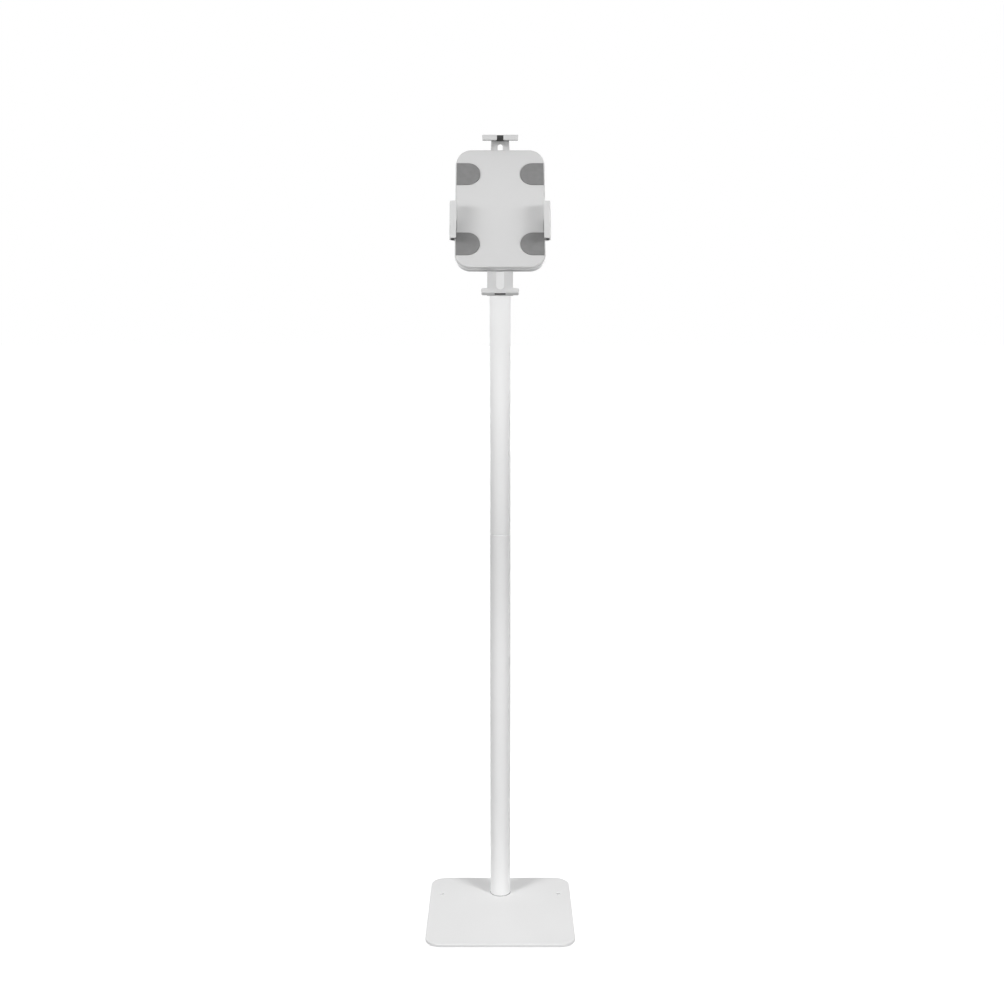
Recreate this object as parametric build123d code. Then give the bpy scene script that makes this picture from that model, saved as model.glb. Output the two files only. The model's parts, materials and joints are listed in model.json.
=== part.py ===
from build123d import *
from math import cos, hypot, radians, sin
import os

# Adjustable tablet floor stand, in millimetres and degrees.
# The origin is on the floor under the centre of the base, front is -Y, up is +Z.

# Fits and gaps
fit_gap = 0.05
slide_gap = 0.3
face_gap = 0.1
overrun = 1.0

# Base plate
base_w = 220.0
base_d = 220.0
base_t = 5.0
base_corner_r = 23.0
base_edge_r = 1.2
foot_d = 18.0
foot_h = 1.5
foot_edge_r = 0.4
foot_inset = 22.0
anchor_hole_d = 6.4
anchor_hole_x = 91.5
anchor_hole_y = 52.0
anchor_hole_chamfer = 0.4
base_screw_d = 5.0
base_screw_head_d = 9.4
base_screw_circle_r = 8.6
base_screw_l = 20.0
base_screw_count = 3
base_screw_first_angle = 90.0
cap_screw_chamfer = 0.4
socket_across_share = 0.5
socket_depth_share = 0.6
full_turn = 360.0
hexagon_half_angle = 30.0

# Pole
pole_y = 58.5
tube_od = 31.0
tube_wall = 1.5
tube_end_r = 0.5
gasket_od = 31.6
gasket_t = 0.5
gasket_edge_r = 0.15
seam_z = 581.0
seam_rib_t = 0.8
seam_rib_inset = 0.5
lower_plug_l = 32.0
coupler_l = 110.0
coupler_wall = 3.0
pole_screw_d = 4.0
pole_screw_head_d = 8.0
pole_screw_head_h = 2.2
pole_screw_l = 6.0
pole_screw_from_seam = 26.0
pole_screw_from_top = 15.0

# Tilt joint at the top of the pole
pivot_z = 1040.0
cap_below_pivot = 18.0
cap_t = 3.0
cap_edge_r = 1.2
top_plug_l = 34.0
tongue_t = 10.0
knuckle_r = 12.0
ear_t = 5.0
tilt_bolt_d = 8.0
tilt_head_d = 13.0
tilt_head_h = 5.5
tilt_nut_af = 13.0
tilt_nut_h = 8.0
tilt_nut_collar_h = 1.0
tilt_nut_chamfer = 1.0
tilt_washer_d = 17.0
tilt_washer_t = 1.5
friction_washer_t = 1.0

# Swivel joint behind the holder
hub_d = 52.0
hub_t = 5.0
hub_edge_r = 1.0
ear_root_half_w = 17.0
swivel_disc_t = 1.0
swivel_bolt_d = 6.0
swivel_head_d = 10.0
swivel_head_h = 6.0
swivel_washer_t = 1.0
swivel_tip_gap = 0.5
hub_nut_d = 20.0

# Holder body, seen square to its face
rest_tilt = 27.0
pivot_to_face = 44.0
tray_w = 128.5
tray_h = 192.0
tray_t = 13.6
tray_corner_r = 23.0
tray_edge_r = 2.0
tray_back_edge_r = 3.0
seam_edge = 0.6
front_step = 1.2
face_wall = 2.0
back_wall = 2.0
rim_wall = 2.5
sheet_t = 2.0
chassis_t = 2.0
rail_t = 2.0
rail_l = 40.0

# Face pads
face_pad_w = 33.9
face_pad_h = 35.6
face_pad_edge_gap = 1.5
face_pad_recess = 1.0
face_pad_proud = 1.0
face_pad_edge_r = 0.5
face_pad_side_gap = 0.4
upper_pad_below_top = 40.7
lower_pad_above_bottom = 37.8

# Clamps: how far each reaches out of the holder at rest, and its sizes
lip_front = 14.0
lip_t = 2.0
lip_reach = 9.5
lip_end_r = 2.2
wing_depth = 8.0
bend_r = 2.4
arm_bend_r = 6.0
notch_depth = 10.0
slot_w = 7.2
top_reach_out = 16.9
top_head_w = 52.0
top_notch_w = 9.4
top_arm_w = 26.2
top_arm_root_w = 33.0
top_taper_l = 66.0
top_slot_outer_margin = 5.2
bottom_reach_out = 46.3
bottom_travel = 24.0
bottom_kept_in = 40.0
bottom_lip_reach = 7.0
bottom_head_w = 52.4
bottom_notch_w = 15.2
bottom_arm_w = 36.4
bottom_slot_w = 11.2
bottom_slot_outer_margin = 17.4
bottom_slant = 9.0
bottom_slant_below_wing = 1.8
bottom_ledge_w = 2.6
side_reach_out = 7.25
side_head_w = 59.3
side_arm_w = 28.2
side_arm_below_nut = 10.2
side_lip_above_arm = 7.7
side_slot_outer_margin = 7.5
slot_inner_margin = 8.0
long_arms_gap = 17.0
side_arms_gap = 10.0
arm_end_r = 4.0

# Clamp linings
lining_t = 2.0
bottom_lining_t = 1.2
side_lining_t = 4.6
lip_lining_t = 1.5
lining_inset = 0.6
block_recess = 0.3
bottom_block_recess = 2.0
bottom_block_front = 6.6

# Holder screws and guides
guide_inset = 16.0
side_guide_inset = 10.25
guide_relief = 0.5
guide_pad_d = 16.0
lock_screw_d = 4.0
lock_head_d = 8.0
lock_head_h = 2.4
lock_tip_gap = 0.6
cover_screw_side_inset = 14.25
cover_screw_end_inset = 16.0
cover_screw_middle_u = 5.0
cover_screw_d = 3.0
cover_head_d = 6.0
cover_head_h = 2.0
cover_tip_gap = 0.7
boss_d = 9.0

# Worked-out levels
floor_to_plate = foot_h
base_top = foot_h + base_t
tube_id = tube_od - 2 * tube_wall
gasket_top = base_top + gasket_t
plug_d = tube_id - 2 * fit_gap
cap_top = pivot_z - cap_below_pivot
upper_tube_top = cap_top - cap_t
upper_tube_bottom = seam_z + seam_rib_t
front_layer_front = -(face_wall + slide_gap)
front_layer_back = front_layer_front - sheet_t
shell_seam = front_layer_back - slide_gap
chassis_back = shell_seam - chassis_t
back_layer_front = chassis_back - slide_gap
back_layer_back = back_layer_front - sheet_t
back_floor = -(tray_t - back_wall)
deep_layer_front = back_floor + slide_gap + sheet_t
hub_front = -(tray_t + swivel_disc_t)
hub_back = hub_front - hub_t
ear_inner_x = tongue_t / 2 + friction_washer_t + face_gap
ear_outer_x = ear_inner_x + ear_t
lip_back = lip_front - lip_t
side_arm_out_u = side_arm_w / 2 + slide_gap
side_arm_u = -(hub_nut_d / 2 + side_arm_below_nut + side_arm_w / 2)
face_pad_straight = face_pad_w - face_pad_h / 2
upper_pad_u = tray_h / 2 - upper_pad_below_top
lower_pad_u = lower_pad_above_bottom - tray_h / 2

# Places that follow the holder's edges
guide_u = tray_h / 2 - guide_inset
side_guide_x = tray_w / 2 - side_guide_inset
cover_screw_x = tray_w / 2 - cover_screw_side_inset
cover_screw_end_u = tray_h / 2 - cover_screw_end_inset
cover_screw_rows = (cover_screw_end_u, cover_screw_middle_u, -cover_screw_end_u)
top_outer = tray_h / 2 + top_reach_out
bottom_outer = tray_h / 2 + bottom_reach_out
side_outer = tray_w / 2 + side_reach_out

# Inner ends of the arms: enough of the lower one stays in with its clamp right out,
# and facing arms keep a gap with both clamps right in
bottom_arm_inner = tray_h / 2 - bottom_kept_in
top_arm_inner = long_arms_gap + bottom_travel - bottom_arm_inner
side_arm_inner = side_arms_gap / 2

# The head's own frame: X across, Y up the holder, Z out of its face
tilt = radians(rest_tilt)
face_origin = (
    0,
    pole_y - pivot_to_face * cos(tilt),
    pivot_z + pivot_to_face * sin(tilt),
)
head = Plane(origin=face_origin, x_dir=(1, 0, 0), z_dir=(0, -cos(tilt), sin(tilt)))


def save(shape, name):
    shape.label = name
    export_step(shape, os.path.join("parts", name + ".step"))


def place_on_head(shape):
    return head.location * shape


def group(solids):
    return Compound(children=list(solids))


def slab(x0, x1, y0, y1, z0, z1):
    middle = Pos((x0 + x1) / 2, (y0 + y1) / 2, (z0 + z1) / 2)
    return middle * Box(abs(x1 - x0), abs(y1 - y0), abs(z1 - z0))


def disc(radius, z0, z1, x=0, y=0):
    return Pos(x, y, (z0 + z1) / 2) * Cylinder(radius, abs(z1 - z0))


def ring(outer_r, inner_r, z0, z1, x=0, y=0):
    return disc(outer_r, z0, z1, x, y) - disc(inner_r, z0 - overrun, z1 + overrun, x, y)


def rounded_plate(w, h, corner_r, z0, z1):
    face = RectangleRounded(w, h, corner_r)
    return Pos(0, 0, z0) * extrude(face, amount=z1 - z0)


def long_slot(width, y0, y1, z0, z1):
    outline = SlotOverall(y1 - y0, width, rotation=90)
    return Pos(0, (y0 + y1) / 2, z0) * extrude(outline, amount=z1 - z0)


def top_edges(shape):
    return shape.edges().group_by(Axis.Z)[-1]


def bottom_edges(shape):
    return shape.edges().group_by(Axis.Z)[0]


def across(section, width, start):
    # Turns a section drawn in X-Y to stand in Y-Z, with its width along X
    standing = Rot(0, 0, 90) * (Rot(90, 0, 0) * extrude(section, amount=width))
    return Pos(start, 0, 0) * standing


# Screws point along -Z with the underside of the head at the origin
def socket_cut(head_d, head_top, head_h):
    flat_r = head_d * socket_across_share / 2
    depth = head_h * socket_depth_share
    hexagon = RegularPolygon(flat_r, 6, major_radius=False)
    return Pos(0, 0, head_top - depth) * extrude(hexagon, amount=depth + overrun)


def button_screw(shank_d, head_d, head_h, length):
    dome = disc(head_d / 2, 0, head_h)
    dome = fillet(top_edges(dome), head_h / 2)
    shank = disc(shank_d / 2, -length, 0)
    return dome + shank - socket_cut(head_d, head_h, head_h)


def cap_screw(shank_d, head_d, head_h, length):
    cylinder = disc(head_d / 2, 0, head_h)
    cylinder = chamfer(top_edges(cylinder), cap_screw_chamfer)
    shank = disc(shank_d / 2, -length, 0)
    return cylinder + shank - socket_cut(head_d, head_h, head_h)


def flush_screw(shank_d, head_d, length):
    cone_h = (head_d - shank_d) / 2
    cone = Pos(0, 0, -cone_h / 2) * Cone(shank_d / 2, head_d / 2, cone_h)
    shank = disc(shank_d / 2, -length, -cone_h)
    return cone + shank - socket_cut(head_d, 0, cone_h)


# Base
def around_pole(count, radius):
    for index in range(count):
        angle = radians(base_screw_first_angle + index * full_turn / count)
        yield radius * cos(angle), pole_y + radius * sin(angle)


def base_plate():
    plate = rounded_plate(base_w, base_d, base_corner_r, floor_to_plate, base_top)
    plate = fillet(top_edges(plate) + bottom_edges(plate), base_edge_r)
    for side in (-1, 1):
        hole = disc(anchor_hole_d / 2, 0, base_top + overrun, side * anchor_hole_x, anchor_hole_y)
        flare_r = anchor_hole_d / 2 + anchor_hole_chamfer
        flare = Cone(anchor_hole_d / 2, flare_r, anchor_hole_chamfer)
        at = Pos(side * anchor_hole_x, anchor_hole_y, base_top - anchor_hole_chamfer / 2)
        plate -= hole
        plate -= at * flare
    cone_h = (base_screw_head_d - base_screw_d) / 2
    for x, y in around_pole(base_screw_count, base_screw_circle_r):
        plate -= disc(base_screw_d / 2 + fit_gap, 0, base_top + overrun, x, y)
        sink = Cone(base_screw_head_d / 2 + fit_gap, base_screw_d / 2 + fit_gap, cone_h)
        plate -= Pos(x, y, floor_to_plate + cone_h / 2) * sink
    return plate


def base_feet():
    feet = []
    for side in (-1, 1):
        for end in (-1, 1):
            x = side * (base_w / 2 - foot_inset)
            y = end * (base_d / 2 - foot_inset)
            foot = disc(foot_d / 2, 0, foot_h)
            foot = fillet(bottom_edges(foot), foot_edge_r)
            feet.append(Pos(x, y, 0) * foot)
    return group(feet)


def base_screws():
    screw = flush_screw(base_screw_d, base_screw_head_d, base_screw_l)
    places = around_pole(base_screw_count, base_screw_circle_r)
    return group([Pos(x, y, floor_to_plate) * (Rot(180, 0, 0) * screw) for x, y in places])


# Pole, made about its own axis and then moved to its place
def on_pole(shape):
    return Pos(0, pole_y, 0) * shape


def pole_gasket():
    body = ring(gasket_od / 2, plug_d / 2 + fit_gap, base_top, gasket_top)
    outer = top_edges(body).sort_by(SortBy.LENGTH)[-1]
    return on_pole(fillet(outer, gasket_edge_r))


def lower_plug():
    body = disc(plug_d / 2, base_top, base_top + lower_plug_l)
    body = on_pole(chamfer(top_edges(body), tube_wall))
    depth = floor_to_plate + base_screw_l + overrun
    for x, y in around_pole(base_screw_count, base_screw_circle_r):
        body -= disc(base_screw_d / 2 + fit_gap, 0, depth, x, y)
    return body


def back_screw_hole(z):
    reach = tube_od
    hole = Rot(-90, 0, 0) * disc(pole_screw_d / 2 + fit_gap, 0, reach)
    return Pos(0, 0, z) * hole


def tube(z0, z1):
    body = ring(tube_od / 2, tube_id / 2, z0, z1)
    upper_end = top_edges(body).sort_by(SortBy.LENGTH)[-1:]
    lower_end = bottom_edges(body).sort_by(SortBy.LENGTH)[-1:]
    return fillet(upper_end + lower_end, tube_end_r)


def lower_tube():
    return on_pole(tube(gasket_top, seam_z) - back_screw_hole(seam_z - pole_screw_from_seam))


def upper_tube():
    body = tube(upper_tube_bottom, upper_tube_top)
    body -= back_screw_hole(seam_z + pole_screw_from_seam)
    body -= back_screw_hole(upper_tube_top - pole_screw_from_top)
    return on_pole(body)


def tube_coupler():
    inner_r = plug_d / 2 - coupler_wall
    body = ring(plug_d / 2, inner_r, seam_z - coupler_l / 2, seam_z + coupler_l / 2)
    body += ring(tube_od / 2 - seam_rib_inset, inner_r, seam_z, seam_z + seam_rib_t)
    for z in (seam_z - pole_screw_from_seam, seam_z + pole_screw_from_seam):
        body -= back_screw_hole(z)
    return on_pole(body)


def pole_screws():
    levels = (
        seam_z - pole_screw_from_seam,
        seam_z + pole_screw_from_seam,
        upper_tube_top - pole_screw_from_top,
    )
    screw = button_screw(pole_screw_d, pole_screw_head_d, pole_screw_head_h, pole_screw_l)
    back = tube_od / 2 + face_gap
    seat = Rot(-90, 0, 0) * screw
    screws = [on_pole(Pos(0, back, z) * seat) for z in levels]
    return group(screws)


def top_plug():
    body = disc(plug_d / 2, upper_tube_top - top_plug_l, upper_tube_top)
    body = chamfer(bottom_edges(body), tube_wall)
    cap = disc(tube_od / 2, upper_tube_top, cap_top)
    body += fillet(top_edges(cap), cap_edge_r)
    tongue = Pos(0, 0, pivot_z) * (Rot(0, 90, 0) * Cylinder(knuckle_r, tongue_t))
    tongue += slab(-tongue_t / 2, tongue_t / 2, -knuckle_r, knuckle_r, cap_top - cap_t / 2, pivot_z)
    body += tongue
    bore = Rot(0, 90, 0) * Cylinder(tilt_bolt_d / 2 + fit_gap, tongue_t + 2 * overrun)
    body -= Pos(0, 0, pivot_z) * bore
    body -= back_screw_hole(upper_tube_top - pole_screw_from_top)
    return on_pole(body)


# Tilt joint, made along X through the pivot
def at_pivot(shape):
    return Pos(0, pole_y, pivot_z) * shape


def along_x(shape):
    return Rot(0, 90, 0) * shape


def friction_washers():
    washers = []
    for side in (-1, 1):
        near = side * (tongue_t / 2)
        far = side * (tongue_t / 2 + friction_washer_t)
        washer = ring(knuckle_r, tilt_bolt_d / 2 + fit_gap, min(near, far), max(near, far))
        washers.append(at_pivot(along_x(washer)))
    return group(washers)


def tilt_washers():
    washers = []
    for side in (-1, 1):
        near = side * (ear_outer_x + face_gap)
        far = near + side * tilt_washer_t
        washer = ring(tilt_washer_d / 2, tilt_bolt_d / 2 + fit_gap, min(near, far), max(near, far))
        washers.append(at_pivot(along_x(washer)))
    return group(washers)


def tilt_bolt():
    seat = ear_outer_x + face_gap + tilt_washer_t
    length = 2 * seat + tilt_nut_h
    screw = cap_screw(tilt_bolt_d, tilt_head_d, tilt_head_h, length)
    return at_pivot(along_x(Pos(0, 0, -seat) * (Rot(180, 0, 0) * screw)))


def tilt_nut():
    seat = ear_outer_x + face_gap + tilt_washer_t
    hexagon = RegularPolygon(tilt_nut_af / 2, 6, major_radius=False)
    hexagon_top = seat + tilt_nut_h - tilt_nut_collar_h
    prism = Pos(0, 0, seat) * extrude(hexagon, amount=hexagon_top - seat)
    corner_r = tilt_nut_af / 2 / cos(radians(hexagon_half_angle))
    round_limit = disc(corner_r, seat, hexagon_top)
    body = prism & chamfer(top_edges(round_limit), tilt_nut_chamfer)
    body += disc(tilt_nut_af / 2 - tilt_nut_chamfer, hexagon_top, seat + tilt_nut_h)
    body -= disc(tilt_bolt_d / 2 + fit_gap, seat - overrun, seat + tilt_nut_h + overrun)
    return at_pivot(along_x(body))


# Swivel joint, in the head's frame
def ear(side):
    # The outline stands in Y-Z: a round knuckle that widens to its root in the hub
    root_z = pivot_to_face + hub_back + hub_t / 2
    root = Line((-ear_root_half_w, root_z), (ear_root_half_w, root_z))
    outline = make_hull(Circle(knuckle_r).edges() + root.edges())
    start = ear_inner_x if side > 0 else -ear_outer_x
    return Pos(0, 0, -pivot_to_face) * across(outline, ear_t, start)


def yoke():
    body = disc(hub_d / 2, hub_back, hub_front)
    body = fillet(top_edges(body) + bottom_edges(body), hub_edge_r)
    body += ear(-1)
    body += ear(1)
    bore = along_x(Cylinder(tilt_bolt_d / 2 + fit_gap, 2 * (ear_outer_x + overrun)))
    body -= Pos(0, 0, -pivot_to_face) * bore
    body -= disc(swivel_bolt_d / 2 + fit_gap, hub_back - overrun, hub_front + overrun)
    return place_on_head(body)


def swivel_disc():
    body = ring(hub_d / 2, swivel_bolt_d / 2 + fit_gap, hub_front, -tray_t - fit_gap)
    return place_on_head(body)


def swivel_bolt():
    seat = hub_back - swivel_washer_t
    length = shell_seam - swivel_tip_gap - seat
    screw = cap_screw(swivel_bolt_d, swivel_head_d, swivel_head_h, length)
    return place_on_head(Pos(0, 0, seat) * (Rot(180, 0, 0) * screw))


def swivel_washer():
    inner_r = swivel_bolt_d / 2 + fit_gap
    return place_on_head(ring(swivel_head_d / 2, inner_r, hub_back - swivel_washer_t, hub_back))


def hub_nut():
    inner_r = swivel_bolt_d / 2 + fit_gap
    return place_on_head(ring(hub_nut_d / 2, inner_r, back_floor + slide_gap, chassis_back))


# Holder shells
def cover_screw_places():
    for x in (-cover_screw_x, cover_screw_x):
        for y in cover_screw_rows:
            yield x, y


def inner_outline(gap):
    w = tray_w - 2 * (rim_wall + gap)
    h = tray_h - 2 * (rim_wall + gap)
    return w, h, tray_corner_r - rim_wall - gap


def pad_outline(grow, straight):
    # Straight at the holder's edge, half round towards the middle
    radius = face_pad_h / 2 + grow
    outline = Circle(radius) + Pos(-straight / 2, 0) * Rectangle(straight, 2 * radius)
    limit = Pos((radius - straight) / 2, 0) * Rectangle(radius + straight, 2 * radius)
    return outline & limit


def face_pad_places():
    round_centre_x = tray_w / 2 - face_pad_edge_gap - face_pad_w + face_pad_h / 2
    for side, x_name in ((-1, "left"), (1, "right")):
        for u, u_name in ((upper_pad_u, "upper"), (lower_pad_u, "lower")):
            turn = 0 if side < 0 else 180
            yield u_name + "_" + x_name, Pos(side * round_centre_x, u, 0) * Rot(0, 0, turn)


def front_cover():
    # Smaller than the back cover at the sides and below, where a rim shows as a thin line
    front_w = tray_w - 2 * front_step
    front_h = tray_h - front_step
    body = rounded_plate(front_w, front_h, tray_corner_r - front_step, shell_seam, 0)
    body = fillet(top_edges(body), tray_edge_r)
    body = Pos(0, front_step / 2, 0) * chamfer(bottom_edges(body), seam_edge)
    w, h, corner_r = inner_outline(0)
    body -= rounded_plate(w, h, corner_r, shell_seam - overrun, -face_wall)
    # The pads' recesses run out through the holder's edge
    recess_l = face_pad_straight + face_pad_edge_gap + overrun
    for _, place in face_pad_places():
        outline = pad_outline(face_pad_side_gap, recess_l)
        recess = extrude(outline, amount=face_pad_recess + overrun)
        body -= place * Pos(0, 0, -face_pad_recess) * recess
    for x, y in cover_screw_places():
        body += disc(boss_d / 2, shell_seam, -face_wall, x, y)
        body -= disc(cover_screw_d / 2 + fit_gap, shell_seam - overrun, -face_wall, x, y)
    # A guide that stands in the upper arm's slot, and a boss for the lower lock screw
    guide_back = front_layer_back + guide_relief / 2
    for end in (-1, 1):
        body += disc(slot_w / 2 - slide_gap, guide_back, -face_wall, 0, end * guide_u)
        body -= disc(lock_screw_d / 2 + fit_gap, guide_back - overrun, -face_wall, 0, end * guide_u)
    # Rails beside the upper arm, and the mouth it leaves by
    half = top_arm_root_w / 2 + slide_gap
    far = tray_h / 2 - rim_wall
    for side in (-1, 1):
        body += slab(side * half, side * (half + rail_t), far - rail_l, far, shell_seam, -face_wall)
    body -= slab(-half, half, far, tray_h / 2 + overrun, shell_seam - overrun, -face_wall)
    return place_on_head(body)


def back_cover():
    body = rounded_plate(tray_w, tray_h, tray_corner_r, -tray_t, shell_seam)
    body = fillet(bottom_edges(body), tray_back_edge_r)
    body = chamfer(top_edges(body), seam_edge)
    w, h, corner_r = inner_outline(0)
    body -= rounded_plate(w, h, corner_r, back_floor, shell_seam + overrun)
    for x, y in cover_screw_places():
        body += disc(boss_d / 2, back_floor, chassis_back, x, y)
    for side in (-1, 1):
        x = side * side_guide_x
        far = tray_w / 2 - rim_wall
        # A pad under the arm, a guide in its slot, rails beside it and its window
        body += disc(guide_pad_d / 2, back_floor, back_layer_back - slide_gap, x, side_arm_u)
        guide_front = back_layer_front - guide_relief / 2
        body += disc(slot_w / 2 - slide_gap, back_floor, guide_front, x, side_arm_u)
        for end in (-1, 1):
            near_y = side_arm_u + end * side_arm_out_u
            far_y = near_y + end * rail_t
            body += slab(side * (far - rail_l), side * far, near_y, far_y, back_floor, chassis_back)
        low_y = side_arm_u - side_arm_out_u
        high_y = side_arm_u + side_arm_out_u
        outside = side * (tray_w / 2 + overrun)
        body -= slab(side * far, outside, low_y, high_y, back_layer_back - slide_gap, chassis_back)
        body -= disc(lock_screw_d / 2 + fit_gap, -tray_t - overrun, 0, x, side_arm_u)
    # The lower arm lies on the floor, between rails with a ledge over its edges
    half = bottom_arm_w / 2 + slide_gap
    far = tray_h / 2 - rim_wall
    ledge_back = deep_layer_front + slide_gap
    for side in (-1, 1):
        outside = side * (half + rail_t)
        body += slab(side * half, outside, -far, rail_l - far, back_floor, chassis_back)
        near_x = side * (half - bottom_ledge_w)
        body += slab(near_x, outside, -far, rail_l - far, ledge_back, chassis_back)
    body -= slab(-half, half, -tray_h / 2 - overrun, -far, back_floor, ledge_back)
    # A boss for the upper lock screw, and one that also guides the lower arm by its slot
    for y, radius in ((guide_u, boss_d / 2), (-guide_u, bottom_slot_w / 2 - slide_gap)):
        body += disc(radius, back_floor, chassis_back, 0, y)
        body -= disc(lock_screw_d / 2 + fit_gap, -tray_t - overrun, 0, 0, y)
    for x, y in cover_screw_places():
        body -= disc(cover_screw_d / 2 + fit_gap, -tray_t - overrun, 0, x, y)
    body -= disc(swivel_bolt_d / 2 + fit_gap, -tray_t - overrun, 0)
    return place_on_head(body)


def chassis():
    w, h, corner_r = inner_outline(slide_gap)
    body = rounded_plate(w, h, corner_r, chassis_back, shell_seam)
    for x, y in cover_screw_places():
        body -= disc(cover_screw_d / 2 + fit_gap, -tray_t, 0, x, y)
    for end in (-1, 1):
        body -= disc(lock_screw_d / 2 + fit_gap, -tray_t, 0, 0, end * guide_u)
        body -= disc(lock_screw_d / 2 + fit_gap, -tray_t, 0, end * side_guide_x, side_arm_u)
    body -= disc(swivel_bolt_d / 2 + fit_gap, -tray_t, 0)
    return place_on_head(body)


def rear_screws(shank_d, head_d, head_h, tip, places):
    screw = Rot(180, 0, 0) * button_screw(shank_d, head_d, head_h, tray_t + tip)
    return place_on_head(group([Pos(x, y, -tray_t) * screw for x, y in places]))


def cover_screws():
    tip = -(face_wall + cover_tip_gap)
    return rear_screws(cover_screw_d, cover_head_d, cover_head_h, tip, cover_screw_places())


def long_lock_screws():
    tip = -(face_wall + lock_tip_gap)
    places = ((0, guide_u), (0, -guide_u))
    return rear_screws(lock_screw_d, lock_head_d, lock_head_h, tip, places)


def short_lock_screws():
    tip = shell_seam - lock_tip_gap
    places = ((-side_guide_x, side_arm_u), (side_guide_x, side_arm_u))
    return rear_screws(lock_screw_d, lock_head_d, lock_head_h, tip, places)


def face_pad(place):
    outline = pad_outline(0, face_pad_straight)
    body = extrude(outline, amount=face_pad_recess + face_pad_proud)
    body = fillet(top_edges(body), face_pad_edge_r)
    return place_on_head(place * Pos(0, 0, -face_pad_recess) * body)


# Clamps, each made as an upper clamp: it slides out along Y and its arm is centred on X
class ClampSizes:
    def __init__(self, outer, arm_inner, arm_w, root_w, head_w, head_x, layer_front):
        self.outer = outer
        self.arm_inner = arm_inner
        self.arm_w = arm_w
        self.root_w = root_w
        self.head_w = head_w
        self.head_x = head_x
        self.layer_front = layer_front
        self.lip_end = outer - lip_reach
        self.slant = 0
        self.lining_t = lining_t
        self.lining_low = layer_front + arm_bend_r - sheet_t
        self.block_front = lip_back
        self.block_end = outer - block_recess
        self.taper_l = top_taper_l
        self.notch_w = 0
        self.slot_w = slot_w
        self.slot_margin = side_slot_outer_margin


def top_sizes():
    sizes = ClampSizes(
        top_outer, top_arm_inner, top_arm_w, top_arm_root_w, top_head_w, 0, front_layer_front
    )
    sizes.notch_w = top_notch_w
    sizes.slot_margin = top_slot_outer_margin
    return sizes


def bottom_sizes():
    sizes = ClampSizes(
        bottom_outer, bottom_arm_inner, bottom_arm_w, bottom_arm_w, bottom_head_w, 0, deep_layer_front
    )
    sizes.lip_end = bottom_outer - bottom_lip_reach
    sizes.slant = bottom_slant
    sizes.lining_t = bottom_lining_t
    sizes.lining_low = lip_front - wing_depth
    sizes.block_front = bottom_block_front
    sizes.block_end = bottom_outer - bottom_block_recess
    sizes.notch_w = bottom_notch_w
    sizes.slot_w = bottom_slot_w
    sizes.slot_margin = bottom_slot_outer_margin
    return sizes


def side_sizes(side):
    head_x = -side * side_lip_above_arm
    sizes = ClampSizes(
        side_outer, side_arm_inner, side_arm_w, side_arm_w, side_head_w, head_x, back_layer_front
    )
    sizes.lining_t = side_lining_t
    return sizes


def bent_section(outer_points, inner_points, outer_r):
    # A folded sheet seen along its bend, with the sliding direction first
    outer_side = FilletPolyline(*outer_points, radius=outer_r)
    inner_side = FilletPolyline(*inner_points, radius=outer_r - sheet_t)
    tip = Line(outer_side @ 0, inner_side @ 0)
    tail = Line(outer_side @ 1, inner_side @ 1)
    return make_face([outer_side, inner_side, tip, tail])


def lip_section(sizes):
    wall = sizes.outer - sheet_t
    root = lip_front - wing_depth
    outer_points = [(sizes.lip_end, lip_front), (sizes.outer, lip_front), (sizes.outer, root)]
    inner_points = [(sizes.lip_end, lip_back), (wall, lip_back), (wall, root)]
    return bent_section(outer_points, inner_points, bend_r)


def arm_join(sizes):
    # Where the folded end meets the flat arm
    return sizes.outer - sizes.slant - arm_bend_r - overrun


def arm_section(sizes):
    # From the wing's root down to the arm, straight or with a slant back towards the holder
    wall = sizes.outer - sheet_t
    root = lip_front - wing_depth
    layer_back = sizes.layer_front - sheet_t
    outer_points = [(sizes.outer, root)]
    inner_points = [(wall, root)]
    foot = sizes.outer - sizes.slant
    inner_foot = foot - sheet_t
    if sizes.slant:
        start = root - bottom_slant_below_wing
        drop = start - layer_back
        slope_l = hypot(drop, sizes.slant)
        outer_points.append((sizes.outer, start))
        inner_points.append((wall, start + sheet_t * (slope_l - drop) / sizes.slant))
        inner_foot = foot - sheet_t * (slope_l - sizes.slant) / drop
    outer_points += [(foot, layer_back), (arm_join(sizes), layer_back)]
    inner_points += [(inner_foot, sizes.layer_front), (arm_join(sizes), sizes.layer_front)]
    return bent_section(outer_points, inner_points, arm_bend_r)


def clamp_fold(sizes):
    # The wide lip with its rounded ends, and the narrower fold down to the arm
    reach = sizes.outer - sizes.lip_end
    limit = RectangleRounded(sizes.head_w, reach, lip_end_r)
    limit = Pos(sizes.head_x, sizes.outer - reach / 2, 0) * extrude(limit, amount=lip_front)
    lip = across(lip_section(sizes), sizes.head_w, sizes.head_x - sizes.head_w / 2)
    return (lip & limit) + across(arm_section(sizes), sizes.arm_w, -sizes.arm_w / 2)


def clamp_arm(sizes):
    half = sizes.arm_w / 2
    root_half = sizes.root_w / 2
    points = [(half, arm_join(sizes))]
    if root_half > half:
        points.append((root_half, sizes.outer - sizes.taper_l))
    points.append((root_half, sizes.arm_inner))
    mirrored = [(-x, y) for x, y in reversed(points)]
    outline = make_face(Polyline(*points, *mirrored, close=True))
    outline = fillet(outline.vertices().group_by(Axis.Y)[0], arm_end_r)
    arm = Pos(0, 0, sizes.layer_front - sheet_t) * extrude(outline, amount=sheet_t)
    slot_inner = sizes.arm_inner + slot_inner_margin
    slot_outer = sizes.outer - sizes.slot_margin
    return arm, long_slot(sizes.slot_w, slot_inner, slot_outer, -tray_t, 0)


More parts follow.
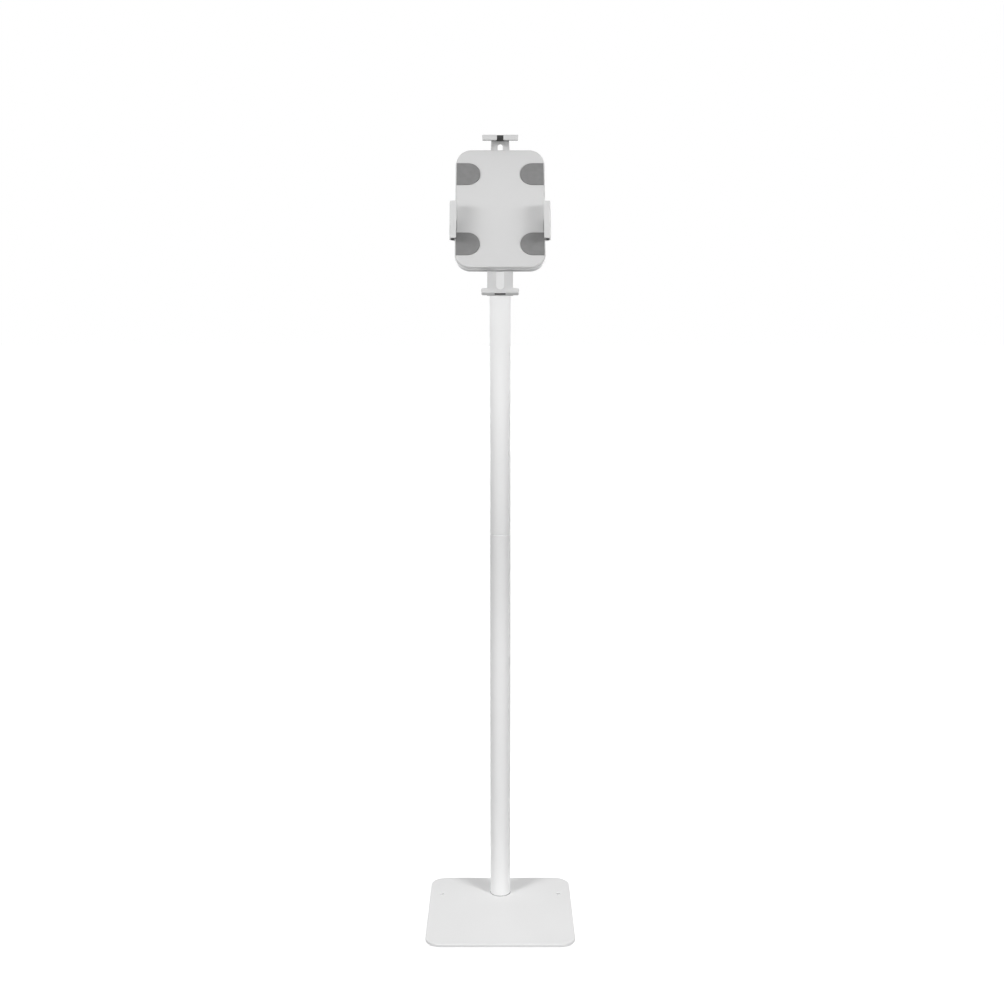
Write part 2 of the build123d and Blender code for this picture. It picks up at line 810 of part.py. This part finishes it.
def notch_cut(sizes):
    # Parts the lip and the fold, with the corners of the two lips rounded
    half = sizes.notch_w / 2
    inner = sizes.lip_end - overrun
    low = lip_front - notch_depth
    high = lip_front + overrun
    cut = slab(-half, half, inner, sizes.outer + overrun, low, high)
    flare_y = sizes.lip_end + lip_end_r
    flare = slab(-half - lip_end_r, half + lip_end_r, inner, flare_y, low, high)
    for side in (-1, 1):
        x = side * (half + lip_end_r)
        flare -= disc(lip_end_r, low - overrun, high + overrun, x, flare_y)
    return cut + flare


def clamp(sizes):
    arm, slot = clamp_arm(sizes)
    body = clamp_fold(sizes) + arm
    body -= slot
    if sizes.notch_w:
        body -= notch_cut(sizes)
    return body


def lining(sizes):
    # A rubber strip inside the fold, with a block that fills the notch behind the lips
    wall = sizes.outer - sheet_t
    inside = wall - sizes.lining_t
    lip_end = sizes.lip_end + lining_inset
    left = sizes.head_x - sizes.head_w / 2 + lining_inset
    right = sizes.head_x + sizes.head_w / 2 - lining_inset
    corner = bend_r - sheet_t
    body = slab(left, right, inside, wall, lip_front - wing_depth, lip_back)
    body += slab(left, right, lip_end, wall, lip_back - lip_lining_t, lip_back)
    arm_half = sizes.arm_w / 2 - lining_inset
    low = sizes.lining_low
    body += slab(-arm_half, arm_half, inside, wall, low, lip_back)
    fold = body.edges().filter_by(Axis.X).group_by(Axis.Y)[-1].group_by(Axis.Z)[-1]
    body = chamfer(fold, corner)
    if sizes.notch_w:
        half = sizes.notch_w / 2
        front = sizes.block_front
        body -= slab(-half, half, lip_end - overrun, inside, low, lip_back + overrun)
        body -= slab(-half, half, lip_end - overrun, sizes.outer, front, lip_back + overrun)
        half -= fit_gap
        floor = lip_front - notch_depth + fit_gap
        body += slab(-half, half, inside, sizes.block_end, floor, front)
    return body


def clamps_and_linings():
    placed_sizes = {
        "top": (Rot(0, 0, 0), top_sizes()),
        "bottom": (Rot(0, 0, 180), bottom_sizes()),
        "left": (Pos(0, side_arm_u, 0) * Rot(0, 0, 90), side_sizes(-1)),
        "right": (Pos(0, side_arm_u, 0) * Rot(0, 0, -90), side_sizes(1)),
    }
    for name, (place, sizes) in placed_sizes.items():
        yield name + "_clamp", place_on_head(place * clamp(sizes))
        yield name + "_clamp_lining", place_on_head(place * lining(sizes))


def main():
    os.makedirs("parts", exist_ok=True)
    makers = (
        base_plate,
        base_feet,
        base_screws,
        pole_gasket,
        lower_plug,
        lower_tube,
        tube_coupler,
        upper_tube,
        pole_screws,
        top_plug,
        friction_washers,
        tilt_washers,
        tilt_bolt,
        tilt_nut,
        yoke,
        swivel_disc,
        swivel_washer,
        swivel_bolt,
        hub_nut,
        chassis,
        front_cover,
        back_cover,
        cover_screws,
        long_lock_screws,
        short_lock_screws,
    )
    for maker in makers:
        save(maker(), maker.__name__)
    for name, place in face_pad_places():
        save(face_pad(place), "face_pad_" + name)
    for name, shape in clamps_and_linings():
        save(shape, name)


if __name__ == "__main__":
    main()
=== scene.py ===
import json
import math
from collections import namedtuple

import bmesh
import bpy
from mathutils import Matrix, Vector


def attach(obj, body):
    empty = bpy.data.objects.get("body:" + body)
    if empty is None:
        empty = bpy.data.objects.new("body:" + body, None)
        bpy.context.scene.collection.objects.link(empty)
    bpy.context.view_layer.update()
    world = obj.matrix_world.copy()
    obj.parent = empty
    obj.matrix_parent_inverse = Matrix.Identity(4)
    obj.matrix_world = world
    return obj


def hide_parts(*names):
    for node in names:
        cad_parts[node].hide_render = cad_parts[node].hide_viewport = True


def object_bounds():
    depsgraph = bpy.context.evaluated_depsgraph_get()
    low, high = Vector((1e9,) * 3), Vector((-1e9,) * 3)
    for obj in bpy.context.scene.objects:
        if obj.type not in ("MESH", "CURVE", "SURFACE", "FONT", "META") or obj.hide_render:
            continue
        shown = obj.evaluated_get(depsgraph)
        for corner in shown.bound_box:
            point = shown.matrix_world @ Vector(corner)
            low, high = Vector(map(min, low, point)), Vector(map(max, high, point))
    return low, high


# Materials, rounded edges, floor, light and camera for the tablet floor stand
# Lengths are in metres and angles in degrees, unless a name says otherwise

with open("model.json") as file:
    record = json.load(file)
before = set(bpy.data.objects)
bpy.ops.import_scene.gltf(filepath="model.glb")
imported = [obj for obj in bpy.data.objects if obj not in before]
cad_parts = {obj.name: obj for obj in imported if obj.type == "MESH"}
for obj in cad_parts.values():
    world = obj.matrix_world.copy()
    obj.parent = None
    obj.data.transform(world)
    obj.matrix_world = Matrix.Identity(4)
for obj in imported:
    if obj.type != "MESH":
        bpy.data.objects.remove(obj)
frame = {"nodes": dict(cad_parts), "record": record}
cad_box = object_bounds()

# Camera, fitted to the base, the pole and the holder in the photograph
IMAGE_PX = 1004
FOCAL_PX = 1279.8
SENSOR_MM = 36.0
CAMERA_PLACE = (0.00265, -1.8489, 0.9179)
CAMERA_PITCH = math.radians(8.60)
CLIP_START = 0.01

# Floor and world
WHITE = (1, 1, 1, 1)
BASE_HALF = cad_box[1][0]
FLOOR_HALF = 30.0
FLOOR_TONE = 0.34
FLOOR_GLOW = 0.895
FLOOR_ROUGHNESS = 0.9
FLOOR_SPECULAR = 0.1
DARK_INSET = 0.012
DARK_FADE = 0.006
WORLD_LIGHT = 0.35
BACKDROP_LIGHT = 1.0

# Soft lamps: azimuth and elevation as seen from the aimed-at point, with azimuth 0 on the
# camera's side, distance, aimed-at point, cone, radius and light on a surface that faces it
Lamp = namedtuple("Lamp", "azimuth elevation distance aim cone radius light")
HEAD_MIDDLE = Vector((0, 0.02, 1.08))
HEAD_TOP = Vector((0, 0.06, 1.16))
POLE_MIDDLE = Vector((0, 0.05, 0.62))
LOW_MIDDLE = Vector((0, 0, 0.20))
SPOT_BLEND = 0.5
LAMPS = {
    "low_front": Lamp(0, -40, 1.45, HEAD_MIDDLE, 36, 0.15, 0.90),
    "head_top": Lamp(0, 38, 1.2, HEAD_TOP, 24, 0.25, 0.52),
    "left_high": Lamp(-45, 32, 2.3, LOW_MIDDLE, 30, 0.34, 1.57),
    "right_high": Lamp(45, 32, 2.3, LOW_MIDDLE, 30, 0.34, 1.68),
}
PAIRED_LAMPS = {
    "near": Lamp(56, 12, 2.4, HEAD_MIDDLE, 15, 0.24, 0.34),
    "side": Lamp(66, 12, 2.4, HEAD_MIDDLE, 15, 0.24, 0.95),
    "far": Lamp(76, 12, 2.4, HEAD_MIDDLE, 15, 0.24, 0.90),
    "back": Lamp(155, -4, 3.0, POLE_MIDDLE, 34, 0.30, 0.58),
}

# Rolled edges of the folded sheets, the rubber and the yoke
CLAMP_EDGE = 0.00035
LINING_EDGE = 0.0003
YOKE_EDGE = 0.0006
EDGE_SEGMENTS = 2
EDGE_PROFILE = 0.5
WELD_DISTANCE = 0.000005
FLAT_ANGLE = 0.6
SHARP_ANGLE = 32.0

# Tones, and the depths of fine surface texture
STEEL_TONE = 0.83
# Painted shade: the clamps wear the pole's white paint, made darker for the holder's dimmer light
SHADED_CLAMP_TONE = 0.635
COVER_TONE = 0.61
SILICONE_TONE = 0.20
RUBBER_TONE = 0.045
PLATING_TONE = 0.62
NYLON_TONE = 0.72
PEEL_DEPTH = 0.00004
PIT_DEPTH = 0.00003
GRAIN_DEPTH = 0.00002

# The middle stretch of a noise's values, and the range of a mixing share
SOFT_RANGE = (0.3, 0.7)
FULL_RANGE = (0, 1)

# Sockets of a Mix node that mixes colours
MIX_SHARE = 0
MIX_COLORS = (6, 7)
MIX_RESULT = 2


def new_material(name):
    material = bpy.data.materials.new(name)
    material.use_nodes = True
    tree = material.node_tree
    shader = tree.nodes["Principled BSDF"]
    return material, tree, shader


def node(tree, kind, **settings):
    made = tree.nodes.new(kind)
    for key, value in settings.items():
        if key in made.inputs:
            made.inputs[key].default_value = value
        else:
            setattr(made, key, value)
    return made


def math_node(tree, operation, *values):
    made = node(tree, "ShaderNodeMath", operation=operation)
    for index, value in enumerate(values):
        tree.links.new(value, made.inputs[index])
    return made.outputs[0]


def noise(tree, place, scale, detail=2.0, rough=0.5):
    made = node(tree, "ShaderNodeTexNoise", Scale=scale, Detail=detail, Roughness=rough)
    tree.links.new(place, made.inputs["Vector"])
    return made.outputs["Fac"]


def remap(tree, value, source, target):
    made = node(tree, "ShaderNodeMapRange")
    made.inputs["From Min"].default_value = source[0]
    made.inputs["From Max"].default_value = source[1]
    made.inputs["To Min"].default_value = target[0]
    made.inputs["To Max"].default_value = target[1]
    tree.links.new(value, made.inputs["Value"])
    return made.outputs["Result"]


def mix_color(tree, share, first, second):
    made = node(tree, "ShaderNodeMix", data_type="RGBA")
    tree.links.new(share, made.inputs[MIX_SHARE])
    for index, value in zip(MIX_COLORS, (first, second)):
        if isinstance(value, tuple):
            made.inputs[index].default_value = value
        else:
            tree.links.new(value, made.inputs[index])
    return made.outputs[MIX_RESULT]


def bump(tree, height, strength, distance, below=None):
    made = node(tree, "ShaderNodeBump", Strength=strength, Distance=distance)
    tree.links.new(height, made.inputs["Height"])
    if below is not None:
        tree.links.new(below, made.inputs["Normal"])
    return made.outputs["Normal"]


def edge_mask(tree, radius, fold, flat):
    # How far the surface turns within a small radius: 0 on flats, near 1 on edges and folds
    soft = node(tree, "ShaderNodeBevel", samples=4, Radius=radius)
    here = node(tree, "ShaderNodeNewGeometry")
    along = node(tree, "ShaderNodeVectorMath", operation="DOT_PRODUCT")
    tree.links.new(soft.outputs["Normal"], along.inputs[0])
    tree.links.new(here.outputs["Normal"], along.inputs[1])
    return remap(tree, along.outputs["Value"], (flat, fold), FULL_RANGE)


def object_place(tree):
    return node(tree, "ShaderNodeTexCoord").outputs["Object"]


def stretched(tree, place, scale):
    made = node(tree, "ShaderNodeMapping")
    made.inputs["Scale"].default_value = scale
    tree.links.new(place, made.inputs["Vector"])
    return made.outputs["Vector"]


def grey(value):
    return (value, value, value, 1)


def lighter(tone, share, lift=0):
    return grey(min(1, tone * share + lift))


def powder_coat(name, tone):
    # Satin white paint: a faint orange peel, fine grain, tiny tone drift and a patchy painted
    # highlight on the edges
    drift_share = 0.985
    speck_share = 0.93
    patchy_highlight_share = 1.06
    material, tree, shader = new_material(name)
    place = object_place(tree)
    drift = remap(tree, noise(tree, place, scale=9, detail=3), SOFT_RANGE, FULL_RANGE)
    paint = mix_color(tree, drift, grey(tone * drift_share), grey(tone))
    specks = remap(tree, noise(tree, place, scale=2600, detail=1), (0.66, 0.74), (0, 0.35))
    paint = mix_color(tree, specks, paint, grey(tone * speck_share))
    # Painted highlight: the paint is made lighter in patches along edges and folds
    lit_edges = edge_mask(tree, radius=0.0006, fold=0.86, flat=0.99)
    patchy = remap(tree, noise(tree, place, scale=260, detail=3), (0.45, 0.62), (0, 0.5))
    patchy_edge_highlight = math_node(tree, "MULTIPLY", lit_edges, patchy)
    paint = mix_color(tree, patchy_edge_highlight, paint, lighter(tone, patchy_highlight_share))
    tree.links.new(paint, shader.inputs["Base Color"])
    gloss = remap(tree, noise(tree, place, scale=40, detail=4), SOFT_RANGE, (0.50, 0.62))
    tree.links.new(gloss, shader.inputs["Roughness"])
    peel = bump(tree, noise(tree, place, scale=620), strength=0.25, distance=PEEL_DEPTH)
    fine = noise(tree, place, scale=2400)
    grain = bump(tree, fine, strength=0.35, distance=GRAIN_DEPTH, below=peel)
    tree.links.new(grain, shader.inputs["Normal"])
    shader.inputs["Specular IOR Level"].default_value = 0.30
    return material


def moulded_plastic(name, tone):
    # Injection-moulded cover: an even spark-eroded grain and a painted highlight that lightens the
    # edges
    drift_share = 0.985
    edge_highlight_share = 1.07
    material, tree, shader = new_material(name)
    place = object_place(tree)
    drift = remap(tree, noise(tree, place, scale=14, detail=3), SOFT_RANGE, FULL_RANGE)
    colour = mix_color(tree, drift, grey(tone * drift_share), grey(tone))
    # Painted highlight: the plastic is made lighter along edges
    lit_edges = edge_mask(tree, radius=0.0008, fold=0.84, flat=0.99)
    lit_edges = remap(tree, lit_edges, FULL_RANGE, (0, 0.5))
    colour = mix_color(tree, lit_edges, colour, lighter(tone, edge_highlight_share))
    tree.links.new(colour, shader.inputs["Base Color"])
    gloss = remap(tree, noise(tree, place, scale=60, detail=4), SOFT_RANGE, (0.48, 0.60))
    tree.links.new(gloss, shader.inputs["Roughness"])
    cells = node(tree, "ShaderNodeTexVoronoi", Scale=1900)
    tree.links.new(place, cells.inputs["Vector"])
    pits = bump(tree, cells.outputs["Distance"], strength=0.22, distance=PIT_DEPTH)
    fine = noise(tree, place, scale=4200)
    grain = bump(tree, fine, strength=0.25, distance=GRAIN_DEPTH, below=pits)
    tree.links.new(grain, shader.inputs["Normal"])
    return material


def rubber(name, tone, grain_scale, gloss_range):
    # Matt rubber: soft mottling, a painted highlight on the edges and a fine pore texture
    dark_share = 0.93
    light_share = 1.04
    edge_highlight_share = 1.45
    edge_highlight_lift = 0.01
    material, tree, shader = new_material(name)
    place = object_place(tree)
    mottle = noise(tree, place, scale=120, detail=4, rough=0.6)
    mottle = remap(tree, mottle, (0.35, 0.65), FULL_RANGE)
    colour = mix_color(tree, mottle, grey(tone * dark_share), grey(tone * light_share))
    # Painted highlight: the rubber is made lighter along edges
    lit_edges = edge_mask(tree, radius=0.0007, fold=0.82, flat=0.99)
    lit_edges = remap(tree, lit_edges, FULL_RANGE, (0, 0.6))
    colour = mix_color(tree, lit_edges, colour, lighter(tone, edge_highlight_share, edge_highlight_lift))
    tree.links.new(colour, shader.inputs["Base Color"])
    gloss = remap(tree, noise(tree, place, scale=80, detail=3), SOFT_RANGE, gloss_range)
    tree.links.new(gloss, shader.inputs["Roughness"])
    fine = noise(tree, place, scale=grain_scale, detail=3, rough=0.6)
    pores = bump(tree, fine, strength=0.3, distance=PIT_DEPTH)
    tree.links.new(pores, shader.inputs["Normal"])
    return material


def plated_steel(name, tone, brush_scale):
    # Zinc-plated steel: fine drawn lines, cloudy plating and a painted highlight on the edges
    cool_shares = (0.96, 0.97, 1)
    warm_shares = (1.04, 1.03, 1)
    edge_highlight_share = 1.25
    material, tree, shader = new_material(name)
    place = object_place(tree)
    lines = noise(tree, stretched(tree, place, brush_scale), scale=1, detail=4, rough=0.65)
    cloud = noise(tree, place, scale=150, detail=3, rough=0.6)
    tint = remap(tree, cloud, SOFT_RANGE, FULL_RANGE)
    cool, warm = [
        tuple(tone * share for share in shares) + (1,) for shares in (cool_shares, warm_shares)
    ]
    colour = mix_color(tree, tint, cool, warm)
    # Painted highlight: the plating is made lighter along edges
    lit_edges = edge_mask(tree, radius=0.0004, fold=0.85, flat=0.99)
    lit_edges = remap(tree, lit_edges, FULL_RANGE, (0, 0.6))
    colour = mix_color(tree, lit_edges, colour, lighter(tone, edge_highlight_share))
    tree.links.new(colour, shader.inputs["Base Color"])
    shader.inputs["Metallic"].default_value = 1
    shader.inputs["Anisotropic"].default_value = 0.3
    gloss = remap(tree, lines, SOFT_RANGE, (0.24, 0.42))
    tree.links.new(gloss, shader.inputs["Roughness"])
    scratch = bump(tree, lines, strength=0.2, distance=GRAIN_DEPTH)
    tree.links.new(scratch, shader.inputs["Normal"])
    return material


def nylon(name, tone):
    # Natural nylon: milky, with a little light passing under the surface
    light_share = 1.03
    yellow_share = 0.96
    material, tree, shader = new_material(name)
    place = object_place(tree)
    milky = remap(tree, noise(tree, place, scale=90, detail=3), SOFT_RANGE, FULL_RANGE)
    yellow = (tone, tone, tone * yellow_share, 1)
    pale = (tone * light_share, tone * light_share, tone, 1)
    tree.links.new(mix_color(tree, milky, yellow, pale), shader.inputs["Base Color"])
    shader.inputs["Subsurface Weight"].default_value = 0.15
    shader.inputs["Subsurface Scale"].default_value = 0.001
    gloss = remap(tree, noise(tree, place, scale=200), SOFT_RANGE, (0.34, 0.46))
    tree.links.new(gloss, shader.inputs["Roughness"])
    grain = bump(tree, noise(tree, place, scale=2000), strength=0.15, distance=GRAIN_DEPTH)
    tree.links.new(grain, shader.inputs["Normal"])
    return material


materials = {
    "white_steel": powder_coat("white_powder_coat", STEEL_TONE),
    # Painted shade: a darker copy of the white powder coat for the clamps
    "clamp_steel": powder_coat("shaded_clamp_powder_coat", SHADED_CLAMP_TONE),
    "white_plastic": moulded_plastic("white_cover_plastic", COVER_TONE),
    "grey_rubber": rubber("grey_silicone", SILICONE_TONE, grain_scale=1800, gloss_range=(0.60, 0.72)),
    "black_rubber": rubber("black_rubber", RUBBER_TONE, grain_scale=2600, gloss_range=(0.62, 0.80)),
    "bare_steel": plated_steel("zinc_plated_steel", PLATING_TONE, brush_scale=(300, 300, 5200)),
    "nylon": nylon("natural_nylon", NYLON_TONE),
}
slots = {entry["node"]: entry["material_slot"] for entry in frame["record"]["subparts"]}
bodies = {}
for body, members in frame["record"]["behaviour"]["bodies"].items():
    for name in members:
        bodies[name] = body


def dress(obj, material):
    if not obj.material_slots:
        obj.data.materials.append(material)
    for slot in obj.material_slots:
        slot.material = material


for name, obj in frame["nodes"].items():
    dress(obj, materials[slots[name]])


def sharp_edges(shape):
    limit = math.radians(SHARP_ANGLE)
    for edge in shape.edges:
        if len(edge.link_faces) == 2 and edge.calc_face_angle(0) > limit:
            yield edge


def rounded_copy(name, width):
    # The node's faces again as a welded mesh with its sharp edges rolled over
    mesh = bpy.data.meshes.new(name + "_rounded")
    shape = bmesh.new()
    shape.from_mesh(frame["nodes"][name].data)
    bmesh.ops.remove_doubles(shape, verts=shape.verts, dist=WELD_DISTANCE)
    bmesh.ops.dissolve_limit(
        shape, angle_limit=math.radians(FLAT_ANGLE), verts=shape.verts, edges=shape.edges
    )
    bmesh.ops.bevel(
        shape,
        geom=list(sharp_edges(shape)),
        offset=width,
        offset_type="OFFSET",
        segments=EDGE_SEGMENTS,
        profile=EDGE_PROFILE,
        affect="EDGES",
        clamp_overlap=True,
    )
    for face in shape.faces:
        face.smooth = True
    shape.to_mesh(mesh)
    shape.free()
    piece = bpy.data.objects.new(name + "_rounded", mesh)
    bpy.context.scene.collection.objects.link(piece)
    piece.data.materials.append(materials[slots[name]])
    weighted = piece.modifiers.new("even_shading", "WEIGHTED_NORMAL")
    weighted.keep_sharp = False
    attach(piece, bodies[name])
    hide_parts(name)


for side in ("top", "bottom", "left", "right"):
    rounded_copy(side + "_clamp", CLAMP_EDGE)
    rounded_copy(side + "_clamp_lining", LINING_EDGE)
rounded_copy("yoke", YOKE_EDGE)


def picture_rays(tree):
    # 1 for rays that bring a thing into the picture: straight, mirrored or through a clear piece
    rays = node(tree, "ShaderNodeLightPath").outputs
    straight_or_mirrored = math_node(tree, "MAXIMUM", rays["Is Camera Ray"], rays["Is Glossy Ray"])
    return math_node(tree, "MAXIMUM", straight_or_mirrored, rays["Is Transmission Ray"])


def floor_glow(tree):
    # The floor shows white in the picture, but not under the base, where it lies in the dark
    dark_half = BASE_HALF - DARK_INSET
    place = node(tree, "ShaderNodeSeparateXYZ")
    tree.links.new(object_place(tree), place.inputs["Vector"])
    past_edge = []
    for axis in ("X", "Y"):
        size = math_node(tree, "ABSOLUTE", place.outputs[axis])
        past_edge.append(remap(tree, size, (dark_half, dark_half + DARK_FADE), FULL_RANGE))
    outside = math_node(tree, "MAXIMUM", *past_edge)
    strength = remap(tree, outside, FULL_RANGE, (0, FLOOR_GLOW))
    return math_node(tree, "MULTIPLY", picture_rays(tree), strength)


def stage_floor():
    mesh = bpy.data.meshes.new("floor")
    shape = bmesh.new()
    corners = []
    for x, y in ((-1, -1), (1, -1), (1, 1), (-1, 1)):
        corners.append(shape.verts.new((x * FLOOR_HALF, y * FLOOR_HALF, 0)))
    shape.faces.new(corners)
    shape.to_mesh(mesh)
    shape.free()
    floor = bpy.data.objects.new("floor", mesh)
    bpy.context.scene.collection.objects.link(floor)
    material, tree, shader = new_material("pale_floor")
    shader.inputs["Base Color"].default_value = grey(FLOOR_TONE)
    shader.inputs["Roughness"].default_value = FLOOR_ROUGHNESS
    shader.inputs["Specular IOR Level"].default_value = FLOOR_SPECULAR
    shader.inputs["Emission Color"].default_value = WHITE
    tree.links.new(floor_glow(tree), shader.inputs["Emission Strength"])
    floor.data.materials.append(material)


def studio_world():
    # White in the picture, and an even dim light on the stand
    world = bpy.data.worlds.new("studio")
    bpy.context.scene.world = world
    world.use_nodes = True
    tree = world.node_tree
    tree.nodes.clear()
    out = node(tree, "ShaderNodeOutputWorld")
    light = node(tree, "ShaderNodeBackground", Color=WHITE, Strength=WORLD_LIGHT)
    seen = node(tree, "ShaderNodeBackground", Color=WHITE, Strength=BACKDROP_LIGHT)
    mix = node(tree, "ShaderNodeMixShader")
    tree.links.new(picture_rays(tree), mix.inputs[0])
    tree.links.new(light.outputs[0], mix.inputs[1])
    tree.links.new(seen.outputs[0], mix.inputs[2])
    tree.links.new(mix.outputs[0], out.inputs["Surface"])


def soft_lamp(name, lamp):
    # A large lamp whose cone covers one part of the stand
    turn = math.radians(lamp.azimuth)
    rise = math.radians(lamp.elevation)
    level = math.cos(rise)
    away = Vector((math.sin(turn) * level, -math.cos(turn) * level, math.sin(rise)))
    data = bpy.data.lights.new(name, "SPOT")
    data.energy = lamp.light * 4 * math.pi * lamp.distance**2
    data.shadow_soft_size = lamp.radius
    data.spot_size = math.radians(lamp.cone)
    data.spot_blend = SPOT_BLEND
    made = bpy.data.objects.new(name, data)
    made.location = lamp.aim + away * lamp.distance
    made.rotation_euler = (-away).to_track_quat("-Z", "Y").to_euler()
    bpy.context.scene.collection.objects.link(made)


def studio_lamps():
    for name, lamp in LAMPS.items():
        soft_lamp(name, lamp)
    for name, lamp in PAIRED_LAMPS.items():
        soft_lamp("left_" + name, lamp._replace(azimuth=-lamp.azimuth))
        soft_lamp("right_" + name, lamp)


def camera():
    data = bpy.data.cameras.new("camera")
    data.sensor_width = SENSOR_MM
    data.sensor_fit = "HORIZONTAL"
    data.lens = FOCAL_PX * SENSOR_MM / IMAGE_PX
    data.clip_start = CLIP_START
    made = bpy.data.objects.new("camera", data)
    made.location = CAMERA_PLACE
    made.rotation_euler = (math.pi / 2 - CAMERA_PITCH, 0, 0)
    bpy.context.scene.collection.objects.link(made)
    bpy.context.scene.camera = made


stage_floor()
studio_world()
studio_lamps()
camera()
bpy.context.scene.view_settings.view_transform = "Standard"
